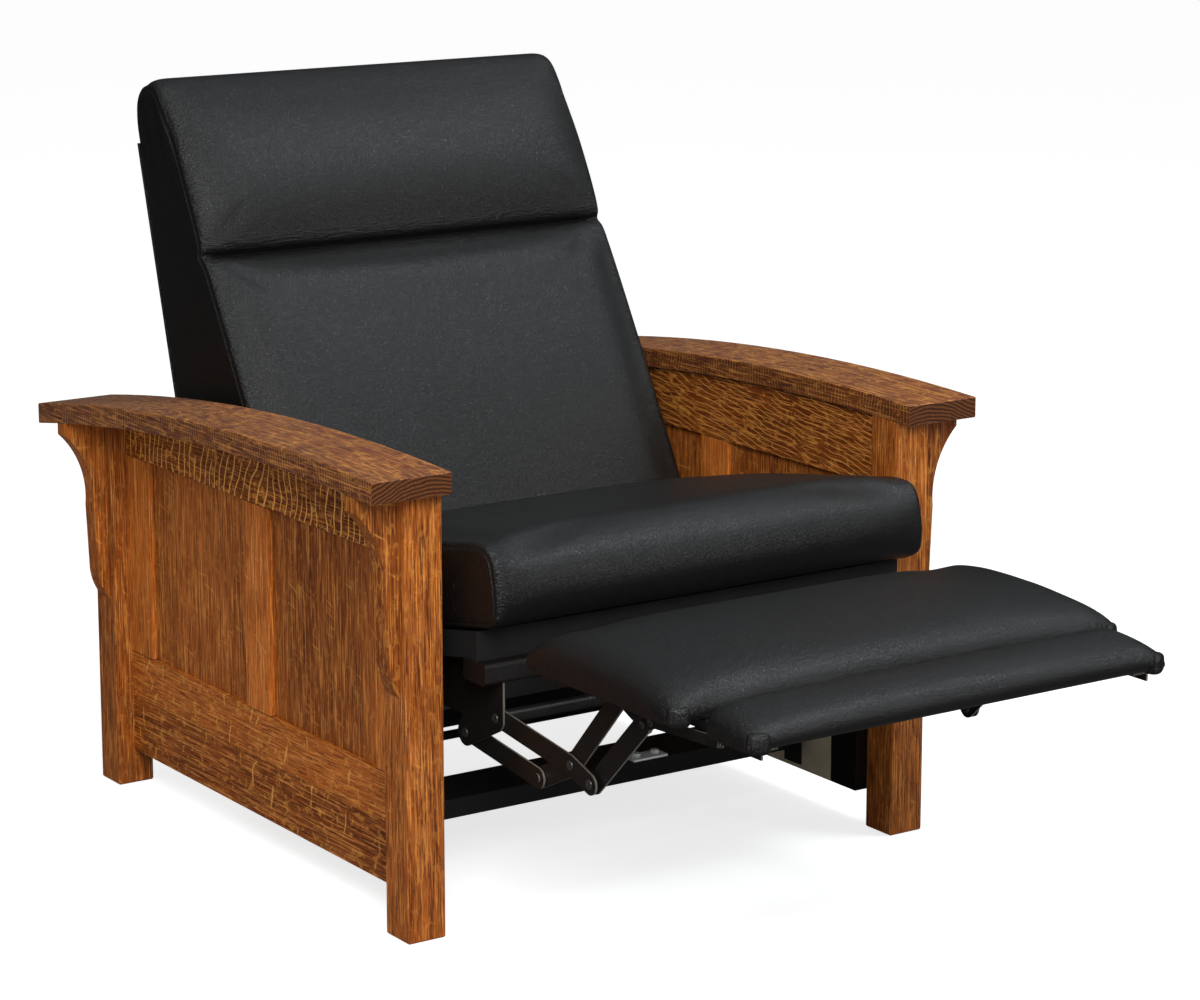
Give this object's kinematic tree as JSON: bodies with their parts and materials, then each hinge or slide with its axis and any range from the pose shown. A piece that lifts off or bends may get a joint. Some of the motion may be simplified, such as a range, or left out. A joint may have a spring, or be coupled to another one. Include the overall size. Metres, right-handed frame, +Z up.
{
  "type": "wall hugger recliner",
  "caption": "Oak-framed wall hugger recliner with bowed arms, panelled sides, black leather back, seat and folding footrest on steel scissor links",
  "frame": {"origin": "on the floor, midway between the arms and midway between the extension flap's nose and the arms' rear ends, with the footrest out", "axes": "+X to the chair's right side as seen from the front, +Y to the rear, +Z up; the sitter faces -Y"},
  "size_m": [0.983, 1.5445, 1.0479],
  "materials": {
    "oak": "semi-gloss red-brown stain on quarter-sawn oak",
    "leather": "black, fine pebble grain, soft sheen",
    "plywood": "bare plywood",
    "black_wood": "hardwood under black cloth",
    "steel": "black satin paint",
    "rivet_steel": "black satin, bright rims",
    "zinc": "bright zinc plate"
  },
  "bodies": {
    "chair_frame": {"right_arm": "oak", "left_arm": "oak", "right_front_post": "oak", "left_front_post": "oak", "right_rear_post": "oak", "left_rear_post": "oak", "right_top_rail": "oak", "left_top_rail": "oak", "right_bottom_rail": "oak", "left_bottom_rail": "oak", "right_stiles": "oak", "left_stiles": "oak", "right_panels": "oak", "left_panels": "oak", "right_front_corbel": "oak", "left_front_corbel": "oak", "right_rear_corbel": "oak", "left_rear_corbel": "oak", "right_mounting_board": "plywood", "left_mounting_board": "plywood", "board_wraps": "leather", "front_cross_rail": "steel", "rear_cross_rail": "steel", "base_rails": "steel", "cross_tube": "steel", "rail_bracket": "zinc", "rail_bolts": "zinc", "base_rivets": "rivet_steel"},
    "front_swing": {"front_swing_links": "steel"},
    "rear_swing": {"rear_swing_links": "steel"},
    "carriage": {"side_plates": "steel", "carriage_rivets": "rivet_steel", "seat_front_rail": "leather", "spring_rail": "black_wood", "seat_side_rails": "black_wood", "seat_rear_rail": "black_wood", "seat_deck": "black_wood", "seat_cushion": "leather"},
    "back": {"back_cushion": "leather", "back_side_panels": "leather", "back_top_rail": "leather", "back_bottom_rail": "black_wood", "outside_back_panel": "leather", "back_brackets": "steel"},
    "upper_arms": {"upper_links": "steel", "torque_tube": "steel", "upper_link_rivets": "rivet_steel"},
    "lower_arms": {"lower_links": "steel"},
    "bent_arms": {"bent_links": "steel", "bent_link_rivets": "rivet_steel"},
    "front_arms": {"front_links": "steel", "front_link_rivets": "rivet_steel"},
    "ottoman": {"ottoman_brackets": "steel", "ottoman_board": "black_wood", "ottoman_pad": "leather", "ottoman_rivets": "rivet_steel"},
    "flipper": {"flipper_links": "steel"},
    "extension": {"extension_brackets": "steel", "extension_pad": "leather"}
  },
  "joints": [
    {"name": "carriage_swing", "type": "hinge", "parent": "chair_frame", "child": "front_swing", "pos_m": [0, 0.13408, 0.135], "axis": [1, 0, 0], "range_deg": [-10, 40]},
    {"name": "carriage_level", "type": "hinge", "parent": "front_swing", "child": "carriage", "pos_m": [0, 0.13408, 0.3], "axis": [1, 0, 0], "range_deg": [-40.01, 10.01]},
    {"name": "rear_swing_turn", "type": "hinge", "parent": "chair_frame", "child": "rear_swing", "pos_m": [0, 0.35408, 0.135], "axis": [1, 0, 0], "range_deg": [-10.01, 40.01]},
    {"name": "back_recline", "type": "hinge", "parent": "carriage", "child": "back", "pos_m": [0, 0.37208, 0.35], "axis": [1, 0, 0], "range_deg": [-22.01, 5.51]},
    {"name": "footrest_fold", "type": "hinge", "parent": "carriage", "child": "upper_arms", "pos_m": [0, -0.19975, 0.297], "axis": [1, 0, 0], "range_deg": [0, 110]},
    {"name": "lower_arm_turn", "type": "hinge", "parent": "carriage", "child": "lower_arms", "pos_m": [0, -0.12575, 0.26], "axis": [1, 0, 0], "range_deg": [0, 111.07]},
    {"name": "bent_arm_turn", "type": "hinge", "parent": "upper_arms", "child": "bent_arms", "pos_m": [0, -0.36775, 0.276], "axis": [1, 0, 0], "range_deg": [-109.23, 0]},
    {"name": "front_arm_turn", "type": "hinge", "parent": "upper_arms", "child": "front_arms", "pos_m": [0, -0.41075, 0.262], "axis": [1, 0, 0], "range_deg": [-105.17, 0]},
    {"name": "ottoman_turn", "type": "hinge", "parent": "bent_arms", "child": "ottoman", "pos_m": [0, -0.46775, 0.385], "axis": [1, 0, 0], "range_deg": [0, 84.56]},
    {"name": "flipper_turn", "type": "hinge", "parent": "front_arms", "child": "flipper", "pos_m": [0, -0.53875, 0.374], "axis": [1, 0, 0], "range_deg": [0, 83.34]},
    {"name": "extension_fold", "type": "hinge", "parent": "ottoman", "child": "extension", "pos_m": [0, -0.65975, 0.387], "axis": [1, 0, 0], "range_deg": [0, 174.01]}
  ],
  "couplings": [
    {"joint": "carriage_level", "follows": "carriage_swing", "ratio": -1},
    {"joint": "rear_swing_turn", "follows": "carriage_swing", "ratio": 1},
    {"joint": "back_recline", "follows": "carriage_swing", "ratio": -0.55},
    {"joint": "lower_arm_turn", "follows": "footrest_fold", "ratio": 1.0096},
    {"joint": "bent_arm_turn", "follows": "footrest_fold", "ratio": -0.99287},
    {"joint": "front_arm_turn", "follows": "footrest_fold", "ratio": -0.95599},
    {"joint": "ottoman_turn", "follows": "footrest_fold", "ratio": 0.76861},
    {"joint": "flipper_turn", "follows": "footrest_fold", "ratio": 0.75757},
    {"joint": "extension_fold", "follows": "footrest_fold", "ratio": 1.5818}
  ]
}
